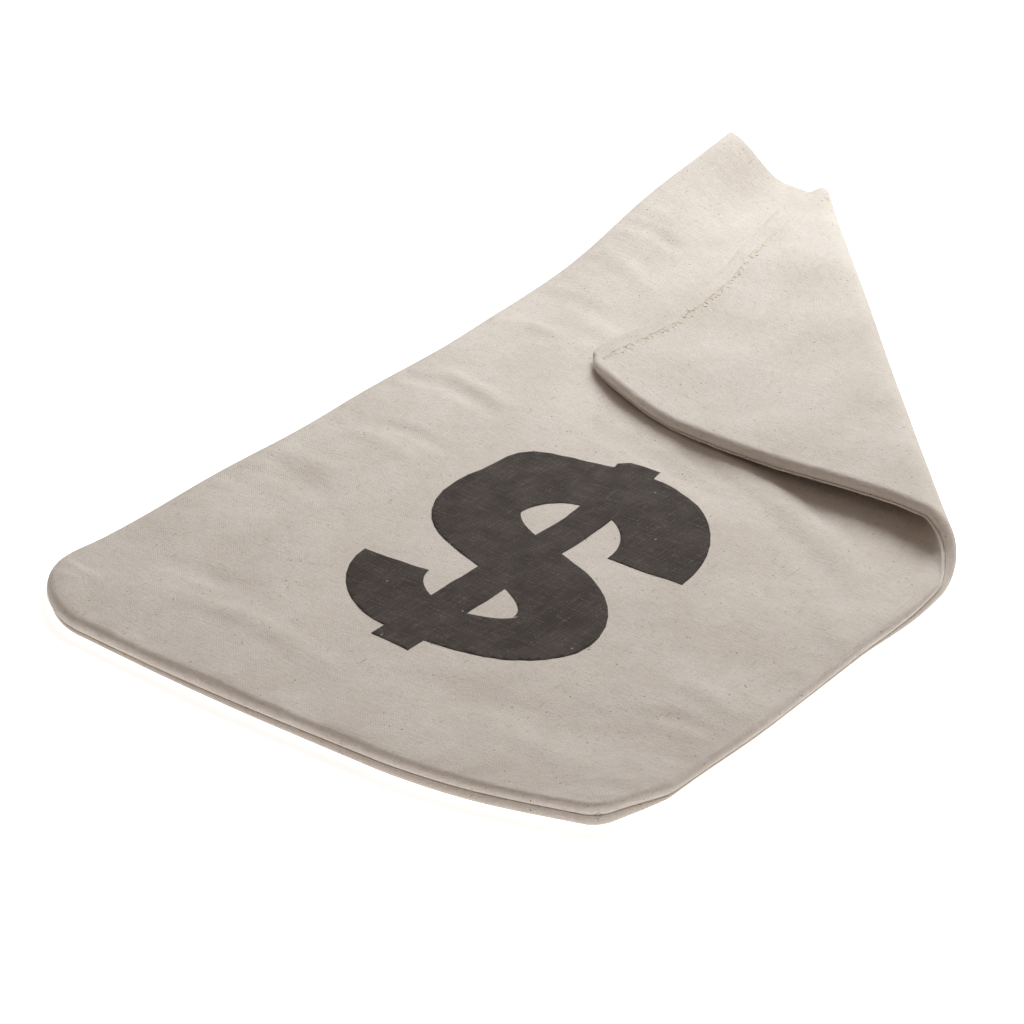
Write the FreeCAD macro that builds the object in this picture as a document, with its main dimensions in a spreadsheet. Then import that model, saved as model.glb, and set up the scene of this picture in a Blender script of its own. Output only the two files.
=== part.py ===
"""Cash deposit bag: a canvas bag lying flat, its mouth towards +Y, one mouth corner turned down.

Frame: millimetres, +Z up, +X to the bag's right, +Y towards the mouth; the origin is the centre
of the underside of the bag's box.  The cloth is drawn flat, bent up along one soft crease, rolled
over along the fold line, and the turned corner lies on top.  Three bodies move: the bag, the roll
of cloth in the fold, and the turned corner.
"""
import FreeCAD, Part
import Sketcher
import math
import os

Vector = FreeCAD.Vector
Placement = FreeCAD.Placement
Rotation = FreeCAD.Rotation

DIMENSIONS = [
    ("bag_width", 300.0),            # across the two side seams
    ("bag_length", 520.0),           # bottom seam to mouth
    ("cloth", 0.8),                  # canvas thickness
    ("slope_cloth", 0.97),           # the same, measured straight up through the front panel's slope
    ("pocket_gap", 8.0),             # clear height between the panels
    ("flat_gap", 2.0),               # clear height where the panels lie together
    ("seam_margin", 14.0),           # width of the slope from the pocket down to a seam
    ("corner_radius", 30.0),         # rounded bottom corners
    ("ply_clearance", 0.02),         # between two plies that lie on each other
    ("body_clearance", 0.5),         # along X, between cloth that belongs to different bodies
    ("crease_right", -29.0),         # Y of the soft crease at the right seam
    ("crease_left", 110.0),          # Y of the soft crease at the left seam
    ("lift_angle", 5.5),             # how far the mouth end is bent up, degrees
    ("fold_right", -25.0),           # Y where the fold line leaves the right seam
    ("fold_mouth", -98.0),           # X where the fold line meets the mouth
    ("fold_turn", 180.2),            # how far the corner is turned over, degrees
    ("fold_flare", 5.6),             # how far the front panel would slope on past the fold line
    ("roll_right", 10.5),            # outer radius of the roll at the right seam
    ("roll_mouth", 7.5),             # outer radius of the roll at the mouth
    ("corner_reach", 130.0),         # fold roll to the tip of the turned corner
    ("corner_along", 202.0),         # place of that tip along the fold line
    ("corner_seam_start", 50.0),     # along the fold line, where the seam leaves the roll
    ("corner_mouth_end", 359.0),     # along the fold line, where the mouth edge leaves the roll
    ("tip_radius", 9.0),             # rounding of that tip
    ("allowance_inset", 4.8),        # seam edge to the turned-in allowance
    ("allowance_width", 9.0),
    ("allowance_plies", 1.6),        # two plies of cloth
    ("allowance_start", 32.0),       # bag corner to the end of an allowance
    ("allowance_stop", 12.0),        # the right allowance ends this far short of the fold line
    ("trim_start", 14.0),            # end of the corner's roll to its allowance
    ("tip_room", 30.0),              # tip of the corner to its allowance; its hems take half of it
    ("hem_width", 12.0),
    ("hem_inset", 1.0),              # mouth edge to the turned-in hem
    ("hem_gap", 1.0),                # between a hem and the cloth beside its end
    ("stitch_inset", 2.0),           # inner edge of a hem to its stitches
    ("corner_allowance_inset", 2.0),  # seam edge of the turned corner to its allowance
    ("thread", 0.4),                 # stitch width and height
    ("stitch_length", 3.0),
    ("stitch_pitch", 4.0),
    ("print_height", 0.15),          # dye film on the cloth
    ("print_centre_x", 2.5),
    ("print_centre_y", -100.5),
    ("letter_height", 166.0),
    ("letter_width", 128.0),
    ("letter_stroke", 36.0),
    ("bar_width", 20.0),
    ("bar_height", 182.0),
]

doc = FreeCAD.newDocument("deposit_bag")
sheet = doc.addObject("Spreadsheet::Sheet", "Sizes")
for row, (alias, value) in enumerate(DIMENSIONS, start=1):
    sheet.set(f"A{row}", alias)
    sheet.set(f"B{row}", str(value))
    sheet.setAlias(f"B{row}", alias)
doc.recompute()

size = {alias: float(sheet.get(alias)) for alias, _ in DIMENSIONS}
half_width = size["bag_width"] / 2
half_length = size["bag_length"] / 2
cloth = size["cloth"]
ply = size["ply_clearance"]
TOOL_REACH = 1000.0                  # half length of the blocks that only cut
TOOL_DEPTH = 60.0                    # how far those blocks go below the cloth


# ---------------------------------------------------------------- places of the bent cloth

def unit(vector):
    return Vector(vector).normalize()


up = Vector(0, 0, 1)

# The crease: the cloth beyond it is turned up about this line.
crease_start = Vector(-half_width, size["crease_left"], 0)
crease_end = Vector(half_width, size["crease_right"], 0)
crease_along = unit(crease_end - crease_start)
crease_away = up.cross(crease_along)
lift = Placement(Vector(), Rotation(crease_along, size["lift_angle"]), crease_start)

# The fold line, in the flat cloth: from the right seam to the mouth.
fold_start = Vector(half_width, size["fold_right"], 0)
fold_end = Vector(size["fold_mouth"], half_length, 0)
fold_along = unit(fold_end - fold_start)
fold_out = fold_along.cross(up)
fold_length = (fold_end - fold_start).Length
fold_flat_place = Placement(fold_start, Rotation(fold_out, fold_along, up, "XYZ"))
fold_place = lift.multiply(fold_flat_place)


def roll_radius(along):
    """Outer radius of the roll at a distance along the fold line."""
    share = along / fold_length
    return size["roll_right"] * (1 - share) + size["roll_mouth"] * share


def roll_point(along, turn):
    """Point of the roll's outer skin in the fold frame, turned by so many degrees."""
    radius = roll_radius(along)
    angle = math.radians(turn)
    return Vector(radius * math.sin(angle), along, radius * (1 - math.cos(angle)))


# The turned corner: a plane that leaves the roll's last line, its Z pointing down to the bag.
corner_origin = roll_point(0, size["fold_turn"])
corner_along = unit(roll_point(fold_length, size["fold_turn"]) - corner_origin)
turn_angle = math.radians(size["fold_turn"])
leaving = Vector(math.cos(turn_angle), 0, math.sin(turn_angle))
corner_away = unit(leaving - corner_along * leaving.dot(corner_along))
corner_down = corner_away.cross(corner_along)
corner_place = fold_place.multiply(
    Placement(corner_origin, Rotation(corner_away, corner_along, corner_down, "XYZ")))


# ---------------------------------------------------------------- drawing tools

def origin_plane(body, role):
    return next(item for item in body.Origin.OriginFeatures if item.Role == role)


def bind(target, path, expression):
    target.setExpression(path, expression)


def new_sketch(body, name, role="XY_Plane", offset=None):
    """Sketch on one of the body's own origin planes, raised along its normal."""
    sketch = body.newObject("Sketcher::SketchObject", name)
    sketch.AttachmentSupport = [(origin_plane(body, role), "")]
    sketch.MapMode = "FlatFace"
    if offset:
        bind(sketch, "AttachmentOffset.Base.z", offset)
    return sketch


def draw_outline(sketch, corners):
    """Closed outline.  A corner is a pair of expressions for X and Y, and a third rounds it."""
    count = len(corners)
    places = [Vector(*(sketch.evalExpression(part) for part in corner[:2])) for corner in corners]
    arrive, depart = list(places), list(places)
    for index, corner in enumerate(corners):
        if len(corner) == 3:
            radius = sketch.evalExpression(corner[2])
            arrive[index] = places[index] + unit(places[index - 1] - places[index]) * radius
            depart[index] = places[index] + unit(places[(index + 1) % count] - places[index]) * radius
    lines = [sketch.addGeometry(Part.LineSegment(depart[index], arrive[(index + 1) % count]))
             for index in range(count)]
    for index, corner in enumerate(corners):
        before, after = lines[index - 1], lines[index]
        if len(corner) == 2:
            sketch.addConstraint(Sketcher.Constraint("Coincident", before, 2, after, 1))
            for kind, start, expression in (("DistanceX", places[index].x, corner[0]),
                                            ("DistanceY", places[index].y, corner[1])):
                bind_constraint(sketch, (kind, -1, 1, after, 1, start), expression)
            continue
        radius = sketch.evalExpression(corner[2])
        centre = arrive[index] + depart[index] - places[index]
        middle = centre + unit(places[index] - centre) * radius
        arc = sketch.addGeometry(Part.Arc(arrive[index], middle, depart[index]))
        turns_left = (places[index] - arrive[index]).cross(depart[index] - arrive[index]).z > 0
        first, last = (1, 2) if turns_left else (2, 1)
        sketch.addConstraint(Sketcher.Constraint("Tangent", before, 2, arc, first))
        sketch.addConstraint(Sketcher.Constraint("Tangent", arc, last, after, 1))
        bind_constraint(sketch, ("Radius", arc, radius), corner[2])
    for index, line in enumerate(lines):
        ends = (corners[index], corners[(index + 1) % count])
        if all(len(corner) == 2 for corner in ends):
            continue
        step = places[(index + 1) % count] - places[index]
        level = abs(step.y) < abs(step.x)
        sketch.addConstraint(Sketcher.Constraint("Horizontal" if level else "Vertical", line))
        if all(len(corner) == 3 for corner in ends):
            kind, start = ("DistanceY", places[index].y) if level else ("DistanceX", places[index].x)
            bind_constraint(sketch, (kind, -1, 1, line, 1, start), ends[0][1 if level else 0])


def bind_constraint(sketch, parts, expression):
    number = sketch.addConstraint(Sketcher.Constraint(*parts))
    bind(sketch, f"Constraints[{number}]", expression)


def pad(body, sketch, name, length):
    feature = body.newObject("PartDesign::Pad", name)
    feature.Profile = sketch
    bind(feature, "Length", length)
    return feature


def round_tip(body, tip, radius):
    """Round the upright edge of a flat ply that stands nearest a place in its plan."""
    doc.recompute()
    base = body.Tip
    upright = [(math.hypot(edge.CenterOfMass.x - tip.x, edge.CenterOfMass.y - tip.y), number)
               for number, edge in enumerate(base.Shape.Edges, start=1)
               if edge.BoundBox.ZMax - edge.BoundBox.ZMin > cloth / 2]
    feature = body.newObject("PartDesign::Fillet", body.Name + "_round")
    feature.Base = (base, [f"Edge{min(upright)[1]}"])
    bind(feature, "Radius", radius)


def flat_cloth(name, corners, height):
    """One ply of cloth: an outline padded to the canvas thickness at a height."""
    body = doc.addObject("PartDesign::Body", name)
    sketch = new_sketch(body, name + "_outline", offset=height)
    draw_outline(sketch, corners)
    pad(body, sketch, name + "_pad", "Sizes.cloth")
    return body


def block(name, place, low, sizes):
    """Box that only cuts: its low corner and its sizes in its own frame."""
    box = doc.addObject("Part::Box", name)
    box.Length, box.Width, box.Height = sizes
    box.Placement = place.multiply(Placement(Vector(*low), Rotation()))
    return box


def cut(name, base, tool):
    feature = doc.addObject("Part::Cut", name)
    feature.Base, feature.Tool = base, tool
    return feature


def strip(name, place, sizes):
    """Straight strip of cloth, its length, width and height bound to the sheet."""
    box = doc.addObject("Part::Box", name)
    for prop, expression in zip(("Length", "Width", "Height"), sizes):
        bind(box, prop, expression)
    box.Placement = place
    return box


def stitch_row(name, places, length):
    """A row of separate stitches along X, each row starting at its own placement."""
    count = int(length // size["stitch_pitch"])
    stitches = []
    for place, first, last in places:
        for index in range(count):
            start = index * size["stitch_pitch"]
            if not first <= start <= last - size["stitch_length"]:
                continue
            stitch = Part.makeBox(size["stitch_length"], size["thread"], size["thread"],
                                  Vector(start, 0, 0))
            stitch.Placement = place.multiply(stitch.Placement)
            stitches.append(stitch)
    feature = doc.addObject("Part::Feature", name)
    feature.Shape = Part.makeCompound(stitches)
    return feature


# ---------------------------------------------------------------- the crease

near_tilt = Placement(crease_start, Rotation(crease_along, size["lift_angle"] / 2).multiply(
    Rotation(crease_along, crease_away, up, "XYZ")))
far_tilt = Placement(crease_start, Rotation(crease_along, -size["lift_angle"] / 2).multiply(
    Rotation(crease_along, crease_away, up, "XYZ")))
tool_sizes = (2 * TOOL_REACH, TOOL_REACH, 4 * TOOL_DEPTH)
near_block = block("near_block", near_tilt, (-TOOL_REACH, -TOOL_REACH, -TOOL_DEPTH), tool_sizes)
far_block = block("far_block", far_tilt, (-TOOL_REACH, 0, -TOOL_DEPTH), tool_sizes)


def bend_up(name, flat):
    """Mitre a flat piece at the crease, turn its far part up and join the two again."""
    near = doc.addObject("Part::Common", name + "_near")
    near.Base, near.Tool = flat, near_block
    far = doc.addObject("Part::Common", name + "_far")
    far.Base, far.Tool = flat, far_block
    far.Placement = lift
    whole = doc.addObject("Part::Fuse", name)
    whole.Base, whole.Tool = near, far
    return whole


# ---------------------------------------------------------------- the two panels of the bag

LEFT, RIGHT = "-Sizes.bag_width / 2", "Sizes.bag_width / 2"
BOTTOM, MOUTH = "-Sizes.bag_length / 2", "Sizes.bag_length / 2"
FOLD_SLOPE = ("(Sizes.bag_length / 2 - Sizes.fold_right)"
              " / (Sizes.bag_width / 2 - Sizes.fold_mouth)")


def panel_outline(inset, radius, fold_corners):
    """Bottom corners rounded, mouth square, and the turned corner cut off along the fold."""
    left, right, bottom = LEFT + inset[0], RIGHT + inset[1], BOTTOM + inset[0]
    return [(left, bottom, radius), (right, bottom, radius)] + fold_corners + [(left, MOUTH)]


def back_panel():
    fold_corners = [(RIGHT, f"Sizes.fold_right - Sizes.body_clearance * {FOLD_SLOPE}"),
                    ("Sizes.fold_mouth - Sizes.body_clearance", MOUTH)]
    outline = panel_outline(("", ""), "Sizes.corner_radius", fold_corners)
    return bend_up("back_panel", flat_cloth("back_panel_flat", outline, None))


def tray(name, drop):
    """Closed form of the front panel: slopes up from its seams and the fold to a flat crown."""
    body = doc.addObject("PartDesign::Body", name)
    rim = new_sketch(body, name + "_rim", offset="Sizes.cloth + Sizes.ply_clearance" + drop)
    draw_outline(rim, panel_outline(("", ""), "Sizes.corner_radius", [
        (RIGHT, f"Sizes.fold_right + Sizes.fold_flare * {FOLD_SLOPE}"),
        ("Sizes.fold_mouth + Sizes.fold_flare", MOUTH)]))
    crown = new_sketch(body, name + "_crown", offset="2 * Sizes.cloth + Sizes.pocket_gap" + drop)
    margins = (" + Sizes.seam_margin", " - Sizes.seam_margin")
    draw_outline(crown, panel_outline(margins, "Sizes.corner_radius - Sizes.seam_margin", [
        (RIGHT + " - Sizes.seam_margin", "Sizes.fold_right"),
        ("Sizes.fold_mouth - Sizes.seam_margin", MOUTH)]))
    loft = body.newObject("PartDesign::AdditiveLoft", name + "_loft")
    loft.Profile = rim
    loft.Sections = [crown]
    loft.Ruled = True
    return body


def front_panel():
    """A shallow tray of cloth: the same form twice, one lower than the other, and the fold side cut."""
    hollow = cut("front_panel_hollow", tray("front_outside", ""),
                 tray("front_inside", " - Sizes.slope_cloth"))
    fold_block = block("fold_block", fold_flat_place,
                       (-size["body_clearance"] * fold_out.x, -TOOL_REACH, -TOOL_DEPTH),
                       (TOOL_REACH, 2 * TOOL_REACH, 4 * TOOL_DEPTH))
    return bend_up("front_panel", cut("front_panel_cut", hollow, fold_block))


# ---------------------------------------------------------------- the rolled cloth in the fold

ROLL_OVERRUN = 6.0                   # the roll is drawn this much longer and cut back at its edges


def half_ring(body, name, along, outer, inner):
    """Sketch of one cross-section of a rolled ply: two arcs and two closing lines."""
    sketch = new_sketch(body, name, role="XZ_Plane")
    sketch.AttachmentOffset = Placement(Vector(0, 0, -along), Rotation())
    centre = roll_radius(along)
    first, last = -math.pi / 2, math.radians(size["fold_turn"]) - math.pi / 2
    circle = [Part.ArcOfCircle(Part.Circle(Vector(0, centre, 0), up, radius), first, last)
              for radius in (outer, inner)]
    sketch.addGeometry(circle)
    sketch.addGeometry(Part.LineSegment(circle[0].StartPoint, circle[1].StartPoint))
    sketch.addGeometry(Part.LineSegment(circle[0].EndPoint, circle[1].EndPoint))
    for arc_end, line in ((1, 2), (2, 3)):
        sketch.addConstraint(Sketcher.Constraint("Coincident", 0, arc_end, line, 1))
        sketch.addConstraint(Sketcher.Constraint("Coincident", 1, arc_end, line, 2))
    return sketch


def edge_plane(points):
    """Placement whose XY plane passes through three points and whose Z leans towards -Y."""
    first, middle, last = points
    normal = unit((middle - first).cross(last - first))
    if normal.y > 0:
        normal = normal * -1
    along = unit(last - first)
    return Placement(first, Rotation(along, normal.cross(along), normal, "XYZ"))


def rolled_ply(name, depth):
    """A ply rolled round the fold, its skin so far inside the roll's outer radius."""
    body = doc.addObject("PartDesign::Body", name + "_roll")
    sections = []
    for end, along in (("right", -ROLL_OVERRUN), ("mouth", fold_length + ROLL_OVERRUN)):
        outer = roll_radius(along) - depth
        sections.append(half_ring(body, f"{name}_{end}", along, outer, outer - cloth))
    roll = body.newObject("PartDesign::AdditiveLoft", name + "_loft")
    roll.Profile = sections[0]
    roll.Sections = [sections[1]]
    roll.Ruled = True
    half_turn = size["fold_turn"] / 2
    seam_points = [roll_point(along, turn) for along, turn in
                   ((0, 0), (size["corner_seam_start"] / 2, half_turn),
                    (size["corner_seam_start"], size["fold_turn"]))]
    mouth_points = [roll_point(along, turn) for along, turn in
                    ((fold_length, 0), ((fold_length + size["corner_mouth_end"]) / 2, half_turn),
                     (size["corner_mouth_end"], size["fold_turn"]))]
    half_space = (2 * TOOL_REACH, 2 * TOOL_REACH, TOOL_REACH)
    seam_block = block(name + "_seam_block", edge_plane(seam_points),
                       (-TOOL_REACH, -TOOL_REACH, 0), half_space)
    mouth_block = block(name + "_mouth_block", edge_plane(mouth_points),
                        (-TOOL_REACH, -TOOL_REACH, -TOOL_REACH), half_space)
    trimmed = cut(name, cut(name + "_seam_cut", body, seam_block), mouth_block)
    trimmed.Placement = fold_place
    return trimmed


# ---------------------------------------------------------------- the turned corner

FLAT_FRONT = "Sizes.cloth + Sizes.flat_gap"
corner_tip = Vector(size["corner_reach"], size["corner_along"], 0)
corner_seam = Vector(0, size["corner_seam_start"], 0)
corner_mouth = Vector(0, size["corner_mouth_end"], 0)


def corner_ply(name, height):
    corners = [("Sizes.body_clearance", "Sizes.corner_seam_start"),
               ("Sizes.corner_reach", "Sizes.corner_along"),
               ("Sizes.body_clearance", "Sizes.corner_mouth_end")]
    body = flat_cloth(name, corners, height)
    round_tip(body, corner_tip, "Sizes.tip_radius")
    body.Placement = corner_place


def along_edge(start, end, inset, height):
    """Frame on an edge of the turned corner: X along it, Y into the cloth, Z across the plies."""
    along = unit(end - start)
    inward = up.cross(along)
    base = start + inward * inset + up * height
    return corner_place.multiply(Placement(base, Rotation(along, inward, up, "XYZ")))


# ---------------------------------------------------------------- seam allowances and stitches

inner_floor = cloth + ply                              # just above the back panel
stitch_height = inner_floor + size["allowance_plies"] + ply
inset = size["allowance_inset"]
band = size["allowance_width"]
end_gap = size["allowance_start"]
mouth_gap = size["hem_inset"] + size["hem_width"] + size["hem_gap"]
left_run = size["bag_length"] - end_gap - mouth_gap
right_run = size["fold_right"] + half_length - end_gap - size["allowance_stop"]
bottom_run = size["bag_width"] - 2 * end_gap
LEFT_RUN = ("Sizes.bag_length - Sizes.allowance_start"
            " - Sizes.hem_inset - Sizes.hem_width - Sizes.hem_gap")
RIGHT_RUN = ("Sizes.fold_right + Sizes.bag_length / 2"
             " - Sizes.allowance_start - Sizes.allowance_stop")
BOTTOM_RUN = "Sizes.bag_width - 2 * Sizes.allowance_start"

allowance_sizes = ("Sizes.allowance_width", "Sizes.allowance_plies")


def left_allowance():
    flat = strip("left_allowance_flat",
                 Placement(Vector(inset + band - half_width, end_gap - half_length, inner_floor),
                           Rotation(up, 90)),
                 (LEFT_RUN,) + allowance_sizes)
    return bend_up("left_seam_allowance", flat)


def right_allowance():
    return strip("right_seam_allowance",
                 Placement(Vector(half_width - inset, end_gap - half_length, inner_floor),
                           Rotation(up, 90)), (RIGHT_RUN,) + allowance_sizes)


def bottom_allowance():
    return strip("bottom_seam_allowance",
                 Placement(Vector(end_gap - half_width, inset - half_length, inner_floor),
                           Rotation()),
                 (BOTTOM_RUN,) + allowance_sizes)


def seam_stitches():
    """Lock stitches down the middle of each allowance, lying on its plies."""
    middle = inset + band / 2
    start_y = end_gap - half_length
    left = Placement(Vector(middle - half_width, start_y, stitch_height), Rotation(up, 90))
    share = middle / size["bag_width"]
    crease_y = size["crease_left"] * (1 - share) + size["crease_right"] * share
    crease_at = crease_y - start_y
    before, after = crease_at - size["thread"], crease_at + size["thread"]
    stitch_row("left_seam_stitches",
               [(left, 0, before), (lift.multiply(left), after, left_run)], left_run)
    right = Placement(Vector(half_width - middle, start_y, stitch_height), Rotation(up, 90))
    stitch_row("right_seam_stitches", [(right, 0, right_run)], right_run)
    bottom = Placement(Vector(end_gap - half_width, middle - half_length, stitch_height),
                       Rotation())
    stitch_row("bottom_seam_stitches", [(bottom, 0, bottom_run)], bottom_run)


# ---------------------------------------------------------------- mouth hems

hem_inset = size["hem_inset"]
hem_width = size["hem_width"]
bag_hem_start = size["seam_margin"] + size["hem_gap"] - half_width
bag_hem_run = size["fold_mouth"] - size["seam_margin"] - size["hem_gap"] - bag_hem_start
BAG_HEM_RUN = ("Sizes.fold_mouth - 2 * Sizes.seam_margin - 2 * Sizes.hem_gap"
               " + Sizes.bag_width / 2")
back_hem_height = cloth + ply
crown_height = 2 * cloth + size["pocket_gap"] + ply
front_hem_height = crown_height - 2 * ply - size["slope_cloth"] - cloth


def bag_hems():
    """Turned-in margins of both panels along the part of the mouth that isn't turned down."""
    hem_sizes = (BAG_HEM_RUN, "Sizes.hem_width", "Sizes.cloth")
    base_y = half_length - hem_inset - hem_width
    for name, height in (("back_mouth_hem", back_hem_height),
                         ("front_mouth_hem", front_hem_height)):
        strip(name, lift.multiply(Placement(Vector(bag_hem_start, base_y, height), Rotation())),
              hem_sizes)
    stitch_y = base_y + size["stitch_inset"]
    for name, height in (("back_hem_stitches", back_hem_height + cloth + ply),
                         ("front_hem_stitches", crown_height)):
        place = lift.multiply(Placement(Vector(bag_hem_start, stitch_y, height), Rotation()))
        stitch_row(name, [(place, 0, bag_hem_run)], bag_hem_run)


def corner_trim():
    """Allowance, hems and stitches of the turned corner, between its two plies."""
    seam_run = (corner_tip - corner_seam).Length
    mouth_run = (corner_mouth - corner_tip).Length
    seam_frame = along_edge(corner_seam, corner_tip, size["corner_allowance_inset"], cloth + ply)
    mouth_frame = along_edge(corner_tip, corner_mouth, hem_inset, 0)
    start, tip_room = size["trim_start"], size["tip_room"]
    seam_strip = seam_run - start - tip_room
    strip("right_seam_allowance_corner",
          seam_frame.multiply(Placement(Vector(start, 0, 0), Rotation())),
          (str(round(seam_strip, 3)),) + allowance_sizes)
    stitch_place = seam_frame.multiply(
        Placement(Vector(start, band / 2, -2 * ply - cloth - size["thread"]), Rotation()))
    stitch_row("right_seam_stitches_corner", [(stitch_place, 0, seam_strip)], seam_strip)
    mouth_strip = mouth_run - start - tip_room / 2
    hem_sizes = (str(round(mouth_strip, 3)), "Sizes.hem_width", "Sizes.cloth")
    front_height = size["flat_gap"] - ply
    for name, height in (("back_mouth_hem_corner", cloth + ply),
                         ("front_mouth_hem_corner", front_height)):
        strip(name, mouth_frame.multiply(Placement(Vector(tip_room / 2, 0, height), Rotation())),
              hem_sizes)
    stitch_y = hem_width - size["stitch_inset"]
    outer = -ply - size["thread"]
    inner = 2 * cloth + size["flat_gap"] + ply
    for name, height in (("back_hem_stitches_corner", outer), ("front_hem_stitches_corner", inner)):
        place = mouth_frame.multiply(Placement(Vector(tip_room / 2, stitch_y, height),
                                               Rotation()))
        stitch_row(name, [(place, 0, mouth_strip)], mouth_strip)


# ---------------------------------------------------------------- the printed currency sign

def draw_slot(sketch, centre_y, radius, half_straight):
    """Closed outline of two half circles joined by straight lines."""
    first = sketch.GeometryCount
    left, right = Vector(-half_straight, centre_y, 0), Vector(half_straight, centre_y, 0)
    quarter = math.pi / 2
    sketch.addGeometry(Part.ArcOfCircle(Part.Circle(right, up, radius), -quarter, quarter))
    sketch.addGeometry(Part.LineSegment(right + Vector(0, radius, 0), left + Vector(0, radius, 0)))
    sketch.addGeometry(Part.ArcOfCircle(Part.Circle(left, up, radius), quarter, 3 * quarter))
    sketch.addGeometry(Part.LineSegment(left - Vector(0, radius, 0), right - Vector(0, radius, 0)))
    for step in range(4):
        sketch.addConstraint(Sketcher.Constraint("Coincident", first + step, 2,
                                                 first + (step + 1) % 4, 1))


def currency_sign():
    """A plain S of two bowls with one upright bar, as a thin film on the front panel."""
    centre = Placement(Vector(size["print_centre_x"], size["print_centre_y"], crown_height),
                       Rotation())
    stroke = size["letter_stroke"]
    radius = (size["letter_height"] + stroke) / 4
    half_straight = size["letter_width"] / 2 - radius
    bowl_centre = size["letter_height"] / 2 - radius
    bowls = []
    for name, side in (("upper", 1), ("lower", -1)):
        body = doc.addObject("PartDesign::Body", name + "_bowl")
        sketch = new_sketch(body, name + "_bowl_outline")
        draw_slot(sketch, side * bowl_centre, radius, half_straight)
        draw_slot(sketch, side * bowl_centre, radius - stroke, half_straight)
        pad(body, sketch, name + "_bowl_pad", "Sizes.print_height")
        body.Placement = centre
        low_y, high_y = sorted((side * bowl_centre, side * (bowl_centre - radius + stroke)))
        low_x = 0.0 if side > 0 else -size["letter_width"]
        gap = block(name + "_bowl_gap", centre, (low_x, low_y, -1),
                    (size["letter_width"], high_y - low_y, 2))
        bowls.append(cut(name + "_bowl_open", body, gap))
    bar = doc.addObject("Part::Box", "sign_bar")
    for prop, expression in (("Length", "Sizes.bar_width"), ("Width", "Sizes.bar_height"),
                             ("Height", "Sizes.print_height")):
        bind(bar, prop, expression)
    bar.Placement = centre.multiply(
        Placement(Vector(-size["bar_width"] / 2, -size["bar_height"] / 2, 0), Rotation()))
    sign = doc.addObject("Part::MultiFuse", "currency_print")
    sign.Shapes = bowls + [bar]
    return sign


# ---------------------------------------------------------------- build, check and export

back_panel()
front_panel()
left_allowance()
right_allowance()
bottom_allowance()
seam_stitches()
bag_hems()
currency_sign()
rolled_ply("back_panel_bend", 0.0)
rolled_ply("front_panel_bend", cloth + size["flat_gap"])
corner_ply("back_panel_corner", None)
corner_ply("front_panel_corner", FLAT_FRONT)
corner_trim()

NODES = [
    "back_panel", "front_panel",
    "left_seam_allowance", "right_seam_allowance", "bottom_seam_allowance",
    "left_seam_stitches", "right_seam_stitches", "bottom_seam_stitches",
    "back_mouth_hem", "front_mouth_hem", "back_hem_stitches", "front_hem_stitches",
    "currency_print",
    "back_panel_bend", "front_panel_bend",
    "back_panel_corner", "front_panel_corner",
    "right_seam_allowance_corner", "right_seam_stitches_corner",
    "back_mouth_hem_corner", "front_mouth_hem_corner",
    "back_hem_stitches_corner", "front_hem_stitches_corner",
]

doc.recompute()
for item in doc.Objects:
    if "Invalid" in item.State or "Error" in item.State:
        raise RuntimeError(f"{item.Name} failed: {item.State}")

parts = {name: doc.getObject(name) for name in NODES}
for name, item in parts.items():
    item.Label = name
    if item.Shape.isNull() or not item.Shape.isValid() or not item.Shape.Solids:
        raise RuntimeError(f"{name} has no sound shape")

whole = FreeCAD.BoundBox()
for item in parts.values():
    whole.add(item.Shape.BoundBox)
print("box", [round(value, 3) for value in (whole.XMin, whole.YMin, whole.ZMin,
                                            whole.XMax, whole.YMax, whole.ZMax)])

os.makedirs("parts", exist_ok=True)
for name, item in parts.items():
    item.Shape.exportStep(f"parts/{name}.step")
    print(name, len(item.Shape.Solids), round(item.Shape.Volume, 1))
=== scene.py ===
"""Cash deposit bag: the looks of its canvas, seams, hems, thread and print, around the CAD frame.

Every piece of cloth is drawn flat, as it was cut, and then laid: round the edge rolls at its
seams, up the soft crease, round the fold and over the bag.  Flat X and Y are places on the cut
cloth, and flat Z is the height above the outer skin of its panel.  All lengths are metres.
"""
import math

import bmesh
import bpy
import numpy as np
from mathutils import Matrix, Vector


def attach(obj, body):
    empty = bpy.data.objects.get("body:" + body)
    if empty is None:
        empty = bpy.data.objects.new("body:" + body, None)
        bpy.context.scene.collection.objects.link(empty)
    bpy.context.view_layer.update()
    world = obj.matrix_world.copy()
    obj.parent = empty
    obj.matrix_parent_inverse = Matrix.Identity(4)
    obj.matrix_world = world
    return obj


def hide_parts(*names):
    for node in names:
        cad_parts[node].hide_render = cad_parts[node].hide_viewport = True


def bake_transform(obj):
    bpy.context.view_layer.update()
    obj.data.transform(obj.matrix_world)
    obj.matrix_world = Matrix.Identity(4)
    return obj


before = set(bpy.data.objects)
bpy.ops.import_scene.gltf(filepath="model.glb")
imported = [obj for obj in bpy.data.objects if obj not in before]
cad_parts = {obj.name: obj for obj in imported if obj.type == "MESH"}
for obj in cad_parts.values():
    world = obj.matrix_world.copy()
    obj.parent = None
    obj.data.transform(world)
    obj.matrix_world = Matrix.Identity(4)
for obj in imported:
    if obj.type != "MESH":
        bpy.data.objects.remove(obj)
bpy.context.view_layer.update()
bpy.ops.object.select_all(action="DESELECT")

MM = 0.001

# ---------------------------------------------------------------- sizes of the bag

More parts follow.
